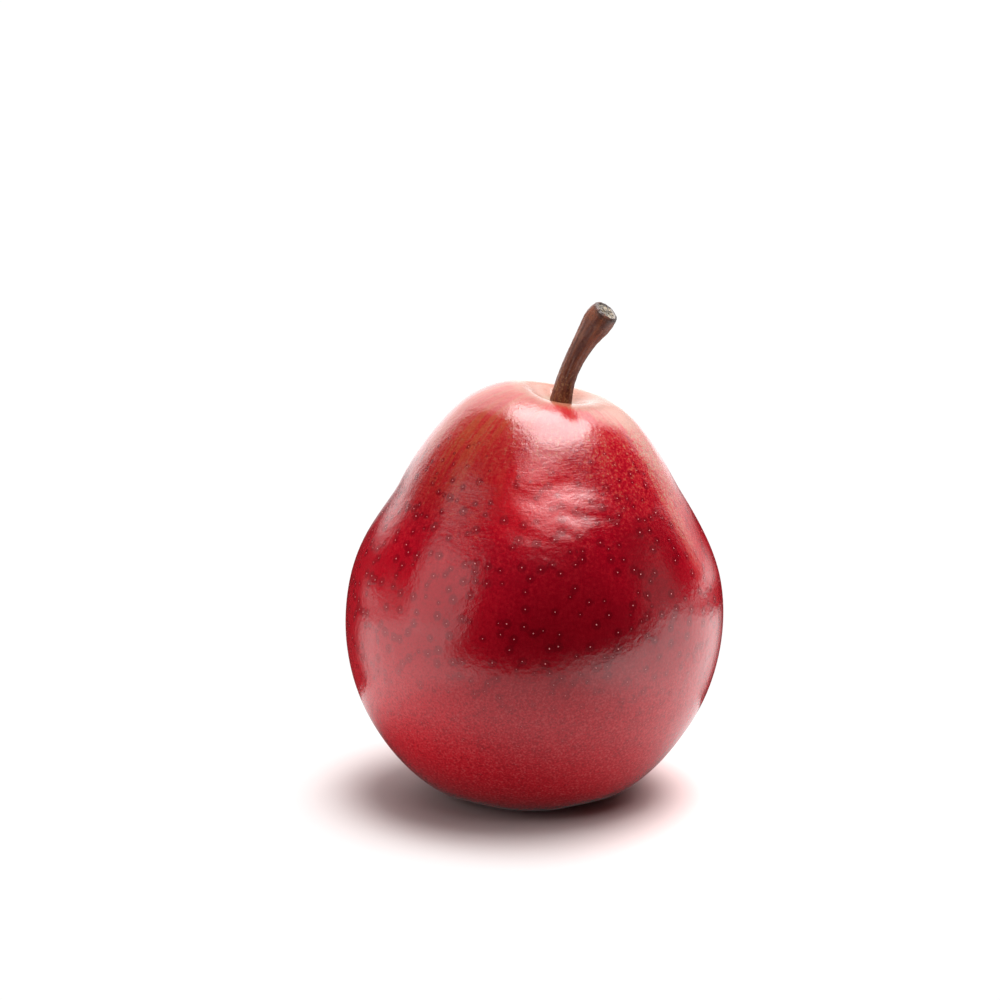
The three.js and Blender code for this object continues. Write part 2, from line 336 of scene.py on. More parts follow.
def new_material(name):
    """A material with one surface, whose inputs are filled in later."""
    material, tree = empty_material(name)
    surface = node(tree, "ShaderNodeBsdfPrincipled")
    node(tree, "ShaderNodeOutputMaterial", {"Surface": surface.outputs[0]})
    return material, tree, surface


def node_group(name, numbers):
    """An empty Geometry Nodes tree with Geometry in and out, and named number inputs."""
    tree = bpy.data.node_groups.new(name, "GeometryNodeTree")
    tree.interface.new_socket("Geometry", in_out="INPUT", socket_type="NodeSocketGeometry")
    tree.interface.new_socket("Geometry", in_out="OUTPUT", socket_type="NodeSocketGeometry")
    for label, value in numbers.items():
        kind = "NodeSocketInt" if isinstance(value, int) else "NodeSocketFloat"
        socket = tree.interface.new_socket(label, in_out="INPUT", socket_type=kind)
        socket.default_value = value
    return tree, tree.nodes.new("NodeGroupInput"), tree.nodes.new("NodeGroupOutput")


def finish_group(tree, target, instances, material):
    """Ends a tree: the instances become one smooth mesh of the given material."""
    mesh = node(tree, "GeometryNodeRealizeInstances", {"Geometry": instances}).outputs[0]
    mesh = node(tree, "GeometryNodeSetShadeSmooth", {"Geometry": mesh}).outputs[0]
    mesh = node(tree, "GeometryNodeSetMaterial", {"Geometry": mesh, "Material": material}).outputs[0]
    tree.links.new(mesh, target.inputs[0])


def grown(thing, tree, values):
    """Puts the tree on the object, and returns the plain mesh that it makes."""
    modifier = thing.modifiers.new(tree.name, "NODES")
    modifier.node_group = tree
    for item in tree.interface.items_tree:
        if item.item_type == "SOCKET" and item.in_out == "INPUT" and item.name in values:
            modifier[item.identifier] = values[item.name]
    evaluated = thing.evaluated_get(bpy.context.evaluated_depsgraph_get())
    mesh = bpy.data.meshes.new_from_object(evaluated)
    thing.modifiers.remove(modifier)
    return mesh


def kept_value(tree, geometry, name, value, kind="FLOAT"):
    """The geometry, with a named value kept at each of its points."""
    inputs = {"Geometry": geometry, "Name": name, "Value": value}
    return node(tree, "GeometryNodeStoreNamedAttribute", inputs, data_type=kind, domain="POINT").outputs[0]


def named_value(tree, name, kind="FLOAT"):
    return node(tree, "GeometryNodeInputNamedAttribute", {"Name": name}, data_type=kind).outputs[0]


def value_of_point(tree, points, index, value, kind="FLOAT"):
    inputs = {"Geometry": points, "Value": value, "Index": index}
    return node(tree, "GeometryNodeSampleIndex", inputs, data_type=kind, domain="POINT").outputs[0]


def scattered_pores(tree, source):
    """Points on the skin with their normals and radii."""
    height = split(tree, node(tree, "GeometryNodeInputPosition").outputs[0])[2]
    above_foot = calc(tree, "GREATER_THAN", height, LOWEST_PORE / 1000)
    below_hollow = calc(tree, "LESS_THAN", height, HIGHEST_PORE / 1000)
    inputs = {
        "Mesh": source.outputs["Geometry"],
        "Selection": product(tree, above_foot, below_hollow),
        "Distance Min": source.outputs["Pore spacing"],
        "Density Max": source.outputs["Pore density"],
        "Seed": PORE_SEED,
    }
    spread = node(tree, "GeometryNodeDistributePointsOnFaces", inputs, distribute_method="POISSON")
    inputs = {2: SMALLEST_PORE, 3: LARGEST_PORE, "Seed": PORE_SIZE_SEED}
    chance = node(tree, "FunctionNodeRandomValue", inputs).outputs[1]
    large = product(tree, fade(tree, height, 0.006, 0.030, 0.35), fade(tree, height, 0.076, 0.062, 0.45))
    size = product(tree, chance, large, source.outputs["Pore radius"])
    points = kept_value(tree, spread.outputs["Points"], "pore_size", size)
    return kept_value(tree, points, "pore_facing", spread.outputs["Normal"], "FLOAT_VECTOR")


PORE_INPUTS = {
    "Pore spacing": PORE_SPACING / 1000,
    "Pore radius": PORE_RADIUS / 1000,
    "Pore density": PORES_PER_SQUARE_CM * 10000.0,
}

# Every point of the skin learns where its nearest pore is, how far off, and how large
marks, source, target = node_group("pore marks", PORE_INPUTS)
points = scattered_pores(marks, source)
nearest = node(marks, "GeometryNodeSampleNearest", {"Geometry": points}, domain="POINT").outputs[0]
place = node(marks, "GeometryNodeInputPosition").outputs[0]
pore_place = value_of_point(marks, points, nearest, place, "FLOAT_VECTOR")
pore_size = value_of_point(marks, points, nearest, named_value(marks, "pore_size"))
marked = kept_value(marks, source.outputs["Geometry"], "pore_place", pore_place, "FLOAT_VECTOR")
marked = kept_value(marks, marked, "pore_away", distance(marks, place, pore_place))
marked = kept_value(marks, marked, "pore_size", pore_size)
marks.links.new(marked, target.inputs[0])

# And each pore is a low dome of cork standing in the skin
cork_material, tree, surface = new_material("pore cork")
place = object_place(tree)
cork_colour = mixed(tree, grain(tree, place, 900.0, 2.0), (0.44, 0.07, 0.08, 1), (0.64, 0.23, 0.22, 1))
redder = fade(tree, split(tree, place)[2], 0.036, 0.026)
cork_colour = mixed(tree, redder, cork_colour, (0.44, 0.06, 0.06, 1))
plug(tree, surface, {"Base Color": cork_colour, "Roughness": 0.55})

domes, source, target = node_group("pore domes", PORE_INPUTS)
points = scattered_pores(domes, source)
inputs = {"Segments": DOME_SIDES, "Rings": DOME_RINGS, "Radius": 1.0}
dome = node(domes, "GeometryNodeMeshUVSphere", inputs).outputs[0]
facing = named_value(domes, "pore_facing", "FLOAT_VECTOR")
size = named_value(domes, "pore_size")
low_form = joined(domes, size, size, product(domes, size, DOME_FLATNESS))
turned = node(domes, "FunctionNodeAlignRotationToVector", {"Vector": facing}, axis="Z").outputs[0]
inputs = {"Points": points, "Instance": dome, "Rotation": turned, "Scale": low_form}
shown = node(domes, "GeometryNodeInstanceOnPoints", inputs).outputs[0]
finish_group(domes, target, shown, cork_material)

pore_mesh = grown(skin, domes, PORE_INPUTS)
skin.data = grown(skin, marks, PORE_INPUTS)
lenticels = show("lenticels", pore_mesh)
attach(lenticels, "root")

# The skin's colour and gloss
# Deep crimson over a cream ground that shows round the stem, laid on in fine streaks along the
# fruit and coated with wax. Along the fruit, 3 is the belly, 4 the neck and 5 the crest.
skin_material, tree, surface = new_material("waxy crimson skin")


def attribute(tree, name, output="Vector"):
    return node(tree, "ShaderNodeAttribute", attribute_name=name).outputs[output]


def about_nought(tree, share):
    """A share between 0 and 1, moved to lie about 0."""
    return calc(tree, "SUBTRACT", share, 0.5)


place = object_place(tree)
place_x, place_y, place_z = split(tree, place)
streak = attribute(tree, "streak")
streak_x, streak_y, streak_along = split(tree, streak)

fine_streaks = grain(tree, streak, 1.0, 4.0, 0.68, stretch=(34, 34, 6))
broad_streaks = grain(tree, streak, 1.0, 3.0, 0.5, stretch=(7, 7, 0.9))
mottle = grain(tree, place, 120.0, 4.0, 0.6)
specks = grain(tree, place, 1500.0, 3.0, 0.65)


def towards(degrees, low, high, wobble=0.0):
    """1 on the side of the fruit that faces that way, 0 on the rest."""
    side = calc(tree, "MULTIPLY_ADD", streak_x, math.cos(math.radians(degrees)), wobble)
    side = calc(tree, "MULTIPLY_ADD", streak_y, math.sin(math.radians(degrees)), side)
    return fade(tree, side, low, high)


def round_patch(middle, outer, inner, share):
    """A soft round patch on the skin: share at its middle, none outside it."""
    return fade(tree, distance(tree, place, middle), outer, inner, 0.0, share)


# How much crimson covers the ground: from none in the hollow to full at the belly
cover = fade(tree, streak_along, 5.2, 4.75, 0.0, 0.5)
cover = calc(tree, "ADD", cover, fade(tree, streak_along, 4.8, 3.7, 0.0, 0.42))
upper = fade(tree, streak_along, 3.55, 4.3)
left_shoulder = product(tree, towards(-142, 0.62, 0.96), upper)
back_shoulder = product(tree, towards(100, 0.5, 0.95), upper)
# A pale streak runs down the right flank, ragged in front and crimson low on its far side
ragged = calc(tree, "ADD", about_nought(tree, fine_streaks), about_nought(tree, broad_streaks))
ragged = product(tree, ragged, 0.04)
right_flank = product(tree, towards(-10, 0.937, 0.956, ragged), towards(-70, 0.20, 0.60))
right_flank = product(tree, right_flank, fade(tree, streak_along, 3.0, 3.7))
far_side = product(tree, towards(-5, 0.955, 0.985), fade(tree, streak_along, 3.95, 3.6, 0.0, -0.75))
right_flank = calc(tree, "MULTIPLY_ADD", right_flank, far_side, right_flank)
for pale, amount in ((left_shoulder, -0.13), (right_flank, -0.50), (back_shoulder, -0.18)):
    cover = calc(tree, "MULTIPLY_ADD", pale, amount, cover)
streakiness = fade(tree, streak_along, 3.2, 4.3, 0.14, 0.85)
cover = calc(tree, "ADD", cover, product(tree, about_nought(tree, fine_streaks), streakiness))
cover = calc(tree, "MULTIPLY_ADD", product(tree, about_nought(tree, broad_streaks), streakiness), 0.9, cover)
cover = calc(tree, "MULTIPLY_ADD", about_nought(tree, mottle), 0.4, cover)
speckle = product(
    tree,
    fade(tree, streak_along, 3.2, 4.2, 0.7, 2.7),
    fade(tree, streak_along, 4.75, 4.45),
    calc(tree, "MULTIPLY_ADD", left_shoulder, -0.6, 1.0),
    about_nought(tree, specks),
)
cover = calc(tree, "ADD", cover, speckle)
# Round the hollow the cream ground shows, and widest over the right shoulder
bare_edge = product(tree, towards(-19, 0.7, 0.96), 4.0)
bare_edge = calc(tree, "ADD", towards(-19, 0.25, 0.7), bare_edge)
bare_edge = calc(tree, "MULTIPLY_ADD", bare_edge, -0.066, 4.90)
bare_inside = calc(tree, "ADD", bare_edge, 0.1)
inputs = {"Value": streak_along, "From Min": bare_edge, "From Max": bare_inside}
bare = node(tree, "ShaderNodeMapRange", inputs).outputs[0]
cover = calc(tree, "MULTIPLY_ADD", bare, -0.32, cover)

# From the cream ground to full crimson
SKIN_COLOURS = [
    (0.02, (0.30, 0.105, 0.062, 1)),
    (0.20, (0.31, 0.070, 0.042, 1)),
    (0.38, (0.34, 0.033, 0.025, 1)),
    (0.56, (0.33, 0.013, 0.016, 1)),
    (0.78, (0.30, 0.004, 0.011, 1)),
    (1.00, (0.235, 0.0006, 0.007, 1)),
]
ramp = node(tree, "ShaderNodeValToRGB", {"Fac": cover})
stops = ramp.color_ramp.elements
for _ in SKIN_COLOURS[2:]:
    stops.new(0.5)
for stop, (position, colour) in zip(stops, SKIN_COLOURS):
    stop.position = position
    stop.color = colour
colour = ramp.outputs[0]

# The red is deepest over the front of the belly and right of it, and bright at the neck
deep = round_patch((0.009, -0.036, 0.042), 0.022, 0.006, 0.45)
deep = calc(tree, "MAXIMUM", deep, round_patch((0.023, -0.024, 0.054), 0.016, 0.004, 0.45))
colour = mixed(tree, deep, colour, (0.07, 0.0004, 0.002, 1))
flush = round_patch((0.000, -0.026, 0.066), 0.013, 0.004, 0.6)
colour = mixed(tree, flush, colour, (0.48, 0.006, 0.014, 1))
colour = mixed(tree, product(tree, left_shoulder, 0.3), colour, (0.12, 0.008, 0.002, 1))
# Painted side light: both flanks are lighter and duller low down. The base is lighter and duller too.
painted_side_light = calc(tree, "MAXIMUM", towards(-165, 0.35, 0.95), product(tree, towards(-5, 0.75, 0.97), 0.45))
painted_side_light = product(tree, painted_side_light, fade(tree, place_z, 0.062, 0.040, 0.0, 0.8))
colour = mixed(tree, painted_side_light, colour, (0.50, 0.004, 0.014, 1))
lower = fade(tree, place_z, 0.042, 0.022)
# Low on the left the base is lighter still: painted light from the left
painted_low_left_light = product(tree, towards(-165, 0.35, 0.95), fade(tree, place_z, 0.006, 0.018))
lower_and_painted_light_colour = mixed(tree, painted_low_left_light, (0.46, 0.004, 0.014, 1), (0.60, 0.006, 0.018, 1))
colour = mixed(tree, lower, colour, lower_and_painted_light_colour)
# Grainy all over, most of all low down
dust = grain(tree, place, 2200.0, 3.0, 0.65)
dusty = product(tree, fade(tree, dust, 0.50, 0.66), calc(tree, "MULTIPLY_ADD", lower, 0.42, 0.008))
colour = mixed(tree, dusty, colour, (0.55, 0.09, 0.09, 1))
shaded = product(tree, fade(tree, dust, 0.50, 0.36), calc(tree, "MULTIPLY_ADD", lower, 0.25, 0.25))
colour = mixed(tree, shaded, colour, (0.12, 0.001, 0.003, 1))

# Green-gold streaks through the red of the left shoulder
gold_streaks = grain(tree, streak, 1.0, 2.0, 0.5, stretch=(13, 13, 1.2))
gold_streaks = fade(tree, gold_streaks, 0.46, 0.62)
gold_streaks = product(tree, gold_streaks, fade(tree, fine_streaks, 0.3, 0.6, 0.4, 1.0))
gold_band = product(tree, fade(tree, streak_along, 5.1, 4.7), fade(tree, streak_along, 3.9, 4.5))
gold = product(tree, left_shoulder, gold_streaks, gold_band, 0.30)
colour = mixed(tree, gold, colour, (0.25, 0.085, 0.024, 1))

# A darker red halo round each pore, broken up so that no two are alike. Its reach is in radii
# of the pore, and it shows less on the pale ground and low down
away = distance(tree, place, attribute(tree, "pore_place"))
away = calc(tree, "DIVIDE", away, attribute(tree, "pore_size", "Fac"))
away = calc(tree, "MULTIPLY_ADD", about_nought(tree, specks), 7.0, away)
halo = product(
    tree,
    fade(tree, away, 9.0, 5.0),
    fade(tree, attribute(tree, "pore_away", "Fac"), 0.0013, 0.0008),
    calc(tree, "MULTIPLY_ADD", fade(tree, cover, 0.3, 0.7), 0.45, 0.15),
    calc(tree, "MULTIPLY_ADD", left_shoulder, 0.6, 1.0),
    calc(tree, "MULTIPLY_ADD", lower, -0.65, 1.0),
)
colour = mixed(tree, halo, colour, (0.50, 0.28, 0.55, 1), "MULTIPLY")

# Brown russet where the skin meets the stem, and in the basin round the eye
STEM_ROOT_X = 0.0048
from_stem = joined(tree, calc(tree, "SUBTRACT", place_x, STEM_ROOT_X), place_y)
from_stem = vector_calc(tree, "LENGTH", from_stem, output=1)
russet = product(
    tree,
    fade(tree, from_stem, 0.0042, 0.0024),
    fade(tree, place_z, 0.070, 0.076),
    fade(tree, mottle, 0.3, 0.6, 0.5, 1.0),
)
colour = mixed(tree, russet, colour, (0.20, 0.09, 0.035, 1))
in_basin = fade(tree, streak_along, 0.9, 0.3, 0.0, 0.75)
colour = mixed(tree, in_basin, colour, (0.24, 0.10, 0.035, 1))


def embossed(tree, relief, strength, depth):
    """The relief as small bumps, up to depth high in metres."""
    inputs = {"Height": relief, "Strength": strength, "Distance": depth}
    return node(tree, "ShaderNodeBump", inputs).outputs[0]


# Fine wrinkles lie round the neck, and the rest of the skin is faintly dimpled
wrinkles = grain(tree, place, 200.0, 5.0, 0.65, stretch=(1, 1, 6), distortion=1.6)
wrinkled = product(tree, fade(tree, place_z, 0.054, 0.062), fade(tree, place_z, 0.079, 0.074))
wrinkles = product(tree, wrinkles, calc(tree, "MULTIPLY_ADD", wrinkled, 1.5, 0.15))
dimples = grain(tree, place, 260.0, 2.0, distortion=0.6)
relief = calc(tree, "MULTIPLY_ADD", dimples, 3.0, product(tree, specks, 1.3))
relief = calc(tree, "MULTIPLY_ADD", grain(tree, place, 650.0, 2.0), 1.5, relief)
relief = calc(tree, "ADD", relief, wrinkles)
finish = {
    "Base Color": colour,
    "Roughness": fade(tree, mottle, 0.3, 0.7, 0.13, 0.20),
    "IOR": 1.5,
    "Normal": embossed(tree, relief, 1.0, 0.00003),
}
plug(tree, surface, finish)

skin.data.materials.clear()
skin.data.materials.append(skin_material)
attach(skin, "root")
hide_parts("fruit")

# The stem
# Woody and dull brown, rooted in the hollow and leaning right. Its bark is finely ribbed, and
# the picked end swells to a dark ragged rim round a pale pithy cut face.
STEM_OVAL = 0.04
RIB_RISE = 0.13
FINE_RIB_RISE = 0.07
BUMP_RISE = 0.06
FRAYED_RISE = 0.18
CRUMB_RISE = 0.12
RIM_ROUNDING = 0.35
DISH_DEPTH = 0.25
STEM_SIDES = 96
STEM_STATIONS = 150
CUT_FACE_RINGS = 14
# Middle of the stem and its radius, from the root to the picked end
STEM_COURSE = np.array([
    (4.2, 0.3, 70.5, 2.3),
    (4.7, -0.1, 77, 2.4),
    (5.25, -0.5, 80.6, 2.1),
    (6.3, -0.7, 84.8, 1.85),
    (7.9, -1.1, 88.9, 1.9),
    (10.1, -1.9, 93.1, 2.3),
    (12.4, -3, 96.8, 2.95),
    (14.1, -3.8, 99.1, 2.65),
])


def along_course(share):
    """Middle and radius of the stem at a share of its course, on a smooth curve through the rows."""
    before = 2 * STEM_COURSE[0] - STEM_COURSE[1]
    beyond = 2 * STEM_COURSE[-1] - STEM_COURSE[-2]
    rows = np.vstack([before, STEM_COURSE, beyond])
    spot = share * (len(STEM_COURSE) - 1)
    first = min(int(spot), len(STEM_COURSE) - 2)
    t = spot - first
    a, b, c, d = rows[first:first + 4]
    return 0.5 * (2 * b + (c - a) * t + (2 * a - 5 * b + 4 * c - d) * t**2 + (3 * b - a - 3 * c + d) * t**3)


def stem_heading(share):
    """The way the stem points at a share of its course."""
    step = along_course(min(1.0, share + 0.001)) - along_course(max(0.0, share - 0.001))
    return step[:3] / np.linalg.norm(step[:3])


def bark_ring(share, cap):
    """Points round the stem. cap is 0 along the bark, and grows to 1 from the rim to the cut's middle."""
    middle = along_course(share)
    ahead = stem_heading(share)
    side = np.cross((0, 1, 0), ahead)
    side /= np.linalg.norm(side)
    other = np.cross(ahead, side)
    ring = []
    for turn in stem_turns:
        x = math.cos(turn)
        y = math.sin(turn)
        around = Vector((x * 2.2, y * 2.2, share * 3))
        ribs = noise.noise(around) * RIB_RISE + noise.noise(around * 2.6) * FINE_RIB_RISE
        bumps = noise.noise(Vector((x * 2, y * 2, share * 34)) * 1.3) * BUMP_RISE
        frayed = noise.noise(Vector((x * 5, y * 5, 3))) * smooth(0.95, 1, share)
        crumbs = noise.noise(Vector((x, y, 0)) * (4 - 4 * cap))
        radius = middle[3] * (1 + STEM_OVAL * math.cos(2 * turn + 0.8 + share))
        radius += (ribs + bumps) * (1 - cap) - RIM_ROUNDING * smooth(0.98, 1, share)
        radius *= 1 - cap
        lift = FRAYED_RISE * frayed - DISH_DEPTH * smooth(0, 0.25, cap)
        lift += CRUMB_RISE * smooth(0.1, 0.3, cap) * crumbs
        ring.append(middle[:3] + side * radius * x + other * radius * y + ahead * lift)
    return ring


stem_turns = np.linspace(0, 2 * math.pi, STEM_SIDES, endpoint=False)
stations = range(STEM_STATIONS + CUT_FACE_RINGS)
stem_shares = [min(1.0, station / (STEM_STATIONS - 1)) for station in stations]
stem_caps = [max(0, station - STEM_STATIONS + 1) / CUT_FACE_RINGS for station in stations]
stem_rings = np.array([bark_ring(share, cap) for share, cap in zip(stem_shares, stem_caps)])
stem_end = along_course(1.0)[:3] - DISH_DEPTH * stem_heading(1.0)
stem_mesh = ring_mesh("stem_bark", stem_rings, STEM_COURSE[0, :3], stem_end)
round_places = list(zip(np.cos(stem_turns), np.sin(stem_turns)))
bark_places = [(x, y, share) for share in stem_shares for x, y in round_places]
store(stem_mesh, "bark_grain", "FLOAT_VECTOR", [(1, 0, 0)] + bark_places + [(1, 0, 1)])
store(stem_mesh, "cut", "FLOAT", [0] + [cap for cap in stem_caps for _ in stem_turns] + [1])
stem = show("stem_bark", stem_mesh)

bark_material, tree, surface = new_material("stem bark")
place = object_place(tree)
bark_grain = attribute(tree, "bark_grain")
cut = attribute(tree, "cut", "Fac")
share = split(tree, bark_grain)[2]
fibres = grain(tree, bark_grain, 1.0, 5.0, 0.6, stretch=(2.6, 2.6, 3.4), distortion=0.5)
blotches = grain(tree, place, 420.0, 4.0, 0.65)
flecks = grain(tree, place, 2300.0, 3.0, 0.7)
bark = mixed(tree, fade(tree, fibres, 0.35, 0.65), (0.085, 0.013, 0.004, 1), (0.20, 0.048, 0.016, 1))
bark = mixed(tree, product(tree, fade(tree, blotches, 0.5, 0.72), 0.5), bark, (0.22, 0.08, 0.035, 1))
speckled = product(tree, fade(tree, flecks, 0.53, 0.64), fade(tree, share, 0.62, 0.40, 0.12, 0.8))
bark = mixed(tree, speckled, bark, (0.36, 0.19, 0.075, 1))
tip_dark = product(tree, fade(tree, share, 0.93, 0.995), fade(tree, blotches, 0.3, 0.6, 0.5, 1))
bark = mixed(tree, tip_dark, bark, (0.030, 0.014, 0.010, 1))
pith = mixed(tree, fade(tree, flecks, 0.44, 0.60), (0.025, 0.016, 0.010, 1), (0.24, 0.18, 0.11, 1))
cut_edge = mixed(tree, fade(tree, blotches, 0.45, 0.6), (0.02, 0.014, 0.012, 1), (0.17, 0.14, 0.12, 1))
pith = mixed(tree, fade(tree, cut, 0.26, 0.10), pith, cut_edge)
bark = mixed(tree, fade(tree, cut, 0.06, 0.12), bark, pith)
relief = calc(tree, "ADD", product(tree, fibres, 0.7), product(tree, flecks, 0.3))
finish = {
    "Base Color": bark,
    "Roughness": 0.5,
    "Specular IOR Level": 0.45,
    "Normal": embossed(tree, relief, 0.7, 0.0003),
}
plug(tree, surface, finish)
stem_mesh.materials.append(bark_material)
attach(stem, "root")
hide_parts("stem")

# The calyx
# What is left of the blossom, dried dark brown and grown fast in the roof of the eye basin:
# a small cup, five pointed sepals that curl outwards, and a tuft of withered stamens.
CUP_RADIUS = 2.7
CUP_SIDES = 40
CUP_FLUTE = 0.08
# Shares of the cup's radius, and levels, from its root over its lip to its floor
CUP_PROFILE = [
    (0.7, -2.7),
    (0.95, -2.6),
    (1.0, -1.2),
    (1.0, 0.0),
    (0.96, 0.35),
    (0.86, 0.75),
    (0.74, 0.8),
    (0.6, 0.55),
    (0.3, 0.45),
]
SEPALS = 5
SEPAL_WIDTH = 2.9
SEPAL_THICKNESS = 0.66
SEPAL_CRUMPLE = 0.10
SEPAL_STATIONS = 26
SEPAL_SIDES = 22
STAMENS = 13
STAMEN_RADIUS = 0.2
STAMEN_LENGTH = 2.6
STAMEN_RING_RADIUS = 1.2
STAMEN_LEAN = 0.30
CALYX_UNEVENNESS = 0.14
CALYX_SEED = 4


def sepal_rings():
    """One sepal, pointing along +X, as in a calyx that opens upwards. It rolls outwards to its tip."""
    rings = []
    for station in range(SEPAL_STATIONS):
        share = station / SEPAL_STATIONS
        lean = math.radians(64 - 48 * share)
        middle = np.array([1.4 + 3.4 * share**1.25, 0, -0.5 + 5.1 * share - 1.3 * share**2.4])
        outward = np.array([math.sin(lean), 0, -math.cos(lean)])
        half = SEPAL_WIDTH / 2 * (1 - share**1.8) * (0.75 + 0.6 * share)
        ring = []
        for i in range(SEPAL_SIDES):
            turn = 2 * math.pi * i / SEPAL_SIDES
            side = math.cos(turn)
            thick = math.sin(turn) * SEPAL_THICKNESS / 2 * (0.55 + 0.45 * (1 - share))
            crumple = SEPAL_CRUMPLE * noise.noise(Vector((side * 2.5, share * 6, 1.0)))
            cupped = 0.5 * side * side * half
            ring.append(middle + np.array([0, side * half, 0]) + outward * (thick + crumple - cupped))
        rings.append(ring)
    return np.array(rings)


def cup_point(share, level, turn):
    radius = CUP_RADIUS * share
    return radius * math.cos(turn), radius * math.sin(turn), level + CUP_FLUTE * math.cos(SEPALS * turn)


sepal = ring_mesh("sepal", sepal_rings(), (1.4, 0, -0.5), (4.85, 0, 3.2))
cup_turns = np.linspace(0, 2 * math.pi, CUP_SIDES, endpoint=False)
cup_rings = np.array([[cup_point(share, level, turn) for turn in cup_turns] for share, level in CUP_PROFILE])
cup = show("calyx_dried", ring_mesh("calyx_dried", cup_rings, (0, 0, -2.75), (0, 0, 0.45)))
sepal_object = show("sepal", sepal)

calyx_material, tree, surface = new_material("dried sepal")
patches = grain(tree, object_place(tree), 500.0, 4.0, 0.65)
husk = mixed(tree, fade(tree, patches, 0.35, 0.65), (0.030, 0.014, 0.007, 1), (0.13, 0.065, 0.030, 1))
plug(tree, surface, {"Base Color": husk, "Roughness": 0.85, "Normal": embossed(tree, patches, 0.6, 0.0003)})

CALYX_INPUTS = {
    "Sepals": SEPALS,
    "Stamens": STAMENS,
    "Stamen radius": STAMEN_RADIUS / 1000,
    "Unevenness": CALYX_UNEVENNESS,
    "Seed": CALYX_SEED,
}
tree, source, target = node_group("dried calyx", CALYX_INPUTS)
index = node(tree, "GeometryNodeInputIndex").outputs[0]
unevenness = source.outputs["Unevenness"]
chances = {2: product(tree, unevenness, -1.0), 3: unevenness, "Seed": source.outputs["Seed"]}
sepal_info = node(tree, "GeometryNodeObjectInfo", {"Object": sepal_object}).outputs["Geometry"]
inputs = {
    "Vertices": 8,
    "Side Segments": 5,
    "Radius Top": product(tree, source.outputs["Stamen radius"], 0.7),
    "Radius Bottom": source.outputs["Stamen radius"],
    "Depth": STAMEN_LENGTH / 1000,
}
stalk = node(tree, "GeometryNodeMeshCone", inputs).outputs[0]
together = node(tree, "GeometryNodeJoinGeometry")
tree.links.new(source.outputs["Geometry"], together.inputs[0])
for label, shape, radius, lean, offset in (
    ("Sepals", sepal_info, 0.0, 0.0, 0.0),
    ("Stamens", stalk, STAMEN_RING_RADIUS / 1000, STAMEN_LEAN, 0.3),
):
    count = source.outputs[label]
    ring_of_points = node(tree, "GeometryNodePoints", {"Count": count}).outputs[0]
    step = calc(tree, "DIVIDE", 2 * math.pi, count)
    chance = node(tree, "FunctionNodeRandomValue", chances).outputs[1]
    heading = calc(tree, "ADD", calc(tree, "MULTIPLY_ADD", index, step, offset), chance)
    spot_x = product(tree, calc(tree, "COSINE", heading), radius)
    spot_y = product(tree, calc(tree, "SINE", heading), radius)
    inputs = {"Geometry": ring_of_points, "Position": joined(tree, spot_x, spot_y)}
    placed = node(tree, "GeometryNodeSetPosition", inputs).outputs[0]
    tilt = calc(tree, "MULTIPLY_ADD", chance, 1.2, lean) if lean else 0.0
    inputs = {"Points": placed, "Instance": shape, "Rotation": joined(tree, 0.0, tilt, heading)}
    instances = node(tree, "GeometryNodeInstanceOnPoints", inputs).outputs[0]
    tree.links.new(instances, together.inputs[0])
finish_group(tree, target, together.outputs[0], calyx_material)
calyx_mesh = grown(cup, tree, CALYX_INPUTS)
bpy.data.objects.remove(sepal_object)
# Turned over into the basin
flat = np.empty(len(calyx_mesh.vertices) * 3, np.float32)
calyx_mesh.vertices.foreach_get("co", flat)
spots = flat.reshape(-1, 3) * (1, -1, -1) + (FOOT_SHIFT_X / 1000, 0, BASIN_HEIGHT / 1000)
calyx_mesh.vertices.foreach_set("co", spots.astype(np.float32).ravel())
calyx_mesh.update()
cup.data = calyx_mesh
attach(cup, "root")
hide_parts("calyx")

# The table
# A plain white sweep, matt round the fruit, that glows to pure white further off so that no
# edge shows. Its glow, as the fruit's bounce and reflections see it, is painted light.
FLOOR_REACH = 6.0


def sheet(name, corners, material):
    """One flat face."""
    mesh = bpy.data.meshes.new(name)
    mesh.from_pydata(corners, [], [(0, 1, 2, 3)])
    mesh.materials.append(material)
    return show(name, mesh)


def chosen(tree, choice, usual, special):
    """special where choice is 1, usual where it is 0."""
    return node(tree, "ShaderNodeMix", {0: choice, 2: usual, 3: special}, data_type="FLOAT").outputs[0]


table_material, tree = empty_material("white table")
place = object_place(tree)
place_x, place_y, _ = split(tree, place)
# Its matt colour is tinted pink with painted red bounce light from the fruit, and lighter to the right, where
# painted light lifts the shadow
table_colour_with_painted_bounce = mixed(tree, fade(tree, place_x, 0.0, 0.035), (0.54, 0.485, 0.480, 1), (0.68, 0.575, 0.565, 1))
matt = node(tree, "ShaderNodeBsdfDiffuse", {"Color": table_colour_with_painted_bounce}).outputs[0]
# The glow's strength for all but camera rays is painted light: brighter pools towards the sides,
# dim beyond its front and back. What the glossy skin mirrors of it is a painted reflection, with a painted
# shadow dark under the fruit.
painted_glow = fade(tree, place_x, -0.05, -0.10, 0.95, 1.85)
painted_glow = calc(tree, "ADD", painted_glow, fade(tree, place_x, 0.02, 0.09, 0.0, 1.3))
front_edge = fade(tree, place_y, -0.17, -0.13)
slanted_edge = fade(tree, calc(tree, "MULTIPLY_ADD", place_x, -0.75, place_y), -0.03, 0.01)
front_edge = calc(tree, "MAXIMUM", front_edge, slanted_edge)
painted_glow = product(tree, painted_glow, front_edge, fade(tree, place_y, 0.17, 0.12))
painted_glow = calc(tree, "ADD", painted_glow, fade(tree, place_y, 0.25, 0.40, 0.0, 2.0))
from_painted_shadow = distance(tree, place, (-0.010, 0, 0))
painted_reflection = product(tree, painted_glow, fade(tree, from_painted_shadow, 0.028, 0.058, 0.06, 1.0))
path = node(tree, "ShaderNodeLightPath").outputs
